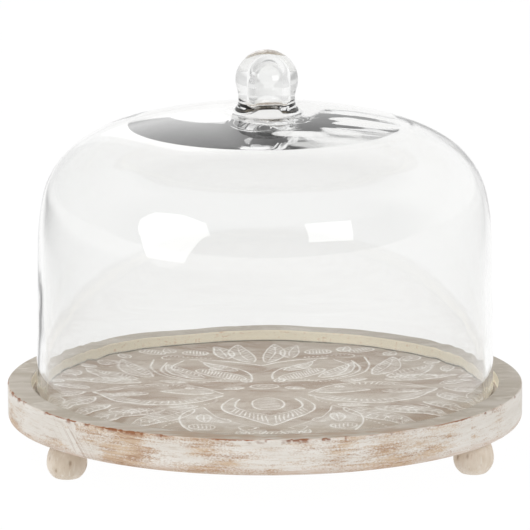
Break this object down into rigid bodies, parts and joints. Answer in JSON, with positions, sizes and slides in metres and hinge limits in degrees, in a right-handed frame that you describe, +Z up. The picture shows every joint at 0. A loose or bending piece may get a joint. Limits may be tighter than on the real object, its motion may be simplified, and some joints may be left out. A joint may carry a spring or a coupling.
{
  "type": "cheese dome",
  "caption": "Clear glass dome with a hollow knob that lifts off a round whitewashed wooden board, recessed and floral-carved on top, on small turned ball feet.",
  "frame": {"origin": "on the table under the middle of the board: the middle of the bottom of the box around the object", "axes": "+Z up along the axis of the dome and board, +X to the right seen from the front, -Y to the front; the staves and their grain run along X"},
  "size_m": [0.3, 0.3, 0.2361],
  "materials": {
    "clear_glass": "clear, polished, slightly wavy from blowing",
    "whitewashed_wood": "thin white wash over grained wood, matt, worn along the edges",
    "foot_wood": "thin white wash over turned wood, matt",
    "screw_steel": "bright zinc"
  },
  "bodies": {
    "stand": {"stave_front": "whitewashed_wood", "stave_mid_front": "whitewashed_wood", "stave_mid_rear": "whitewashed_wood", "stave_rear": "whitewashed_wood", "foot_left": "foot_wood", "foot_right": "foot_wood", "foot_rear": "foot_wood", "screw_left": "screw_steel", "screw_right": "screw_steel", "screw_rear": "screw_steel"},
    "dome": {"glass_dome": "clear_glass"}
  },
  "joints": [
    {"name": "dome_lift", "type": "slide", "parent": "stand", "child": "dome", "axis": [0, 0, 1], "range_m": [0, 0.25]}
  ]
}
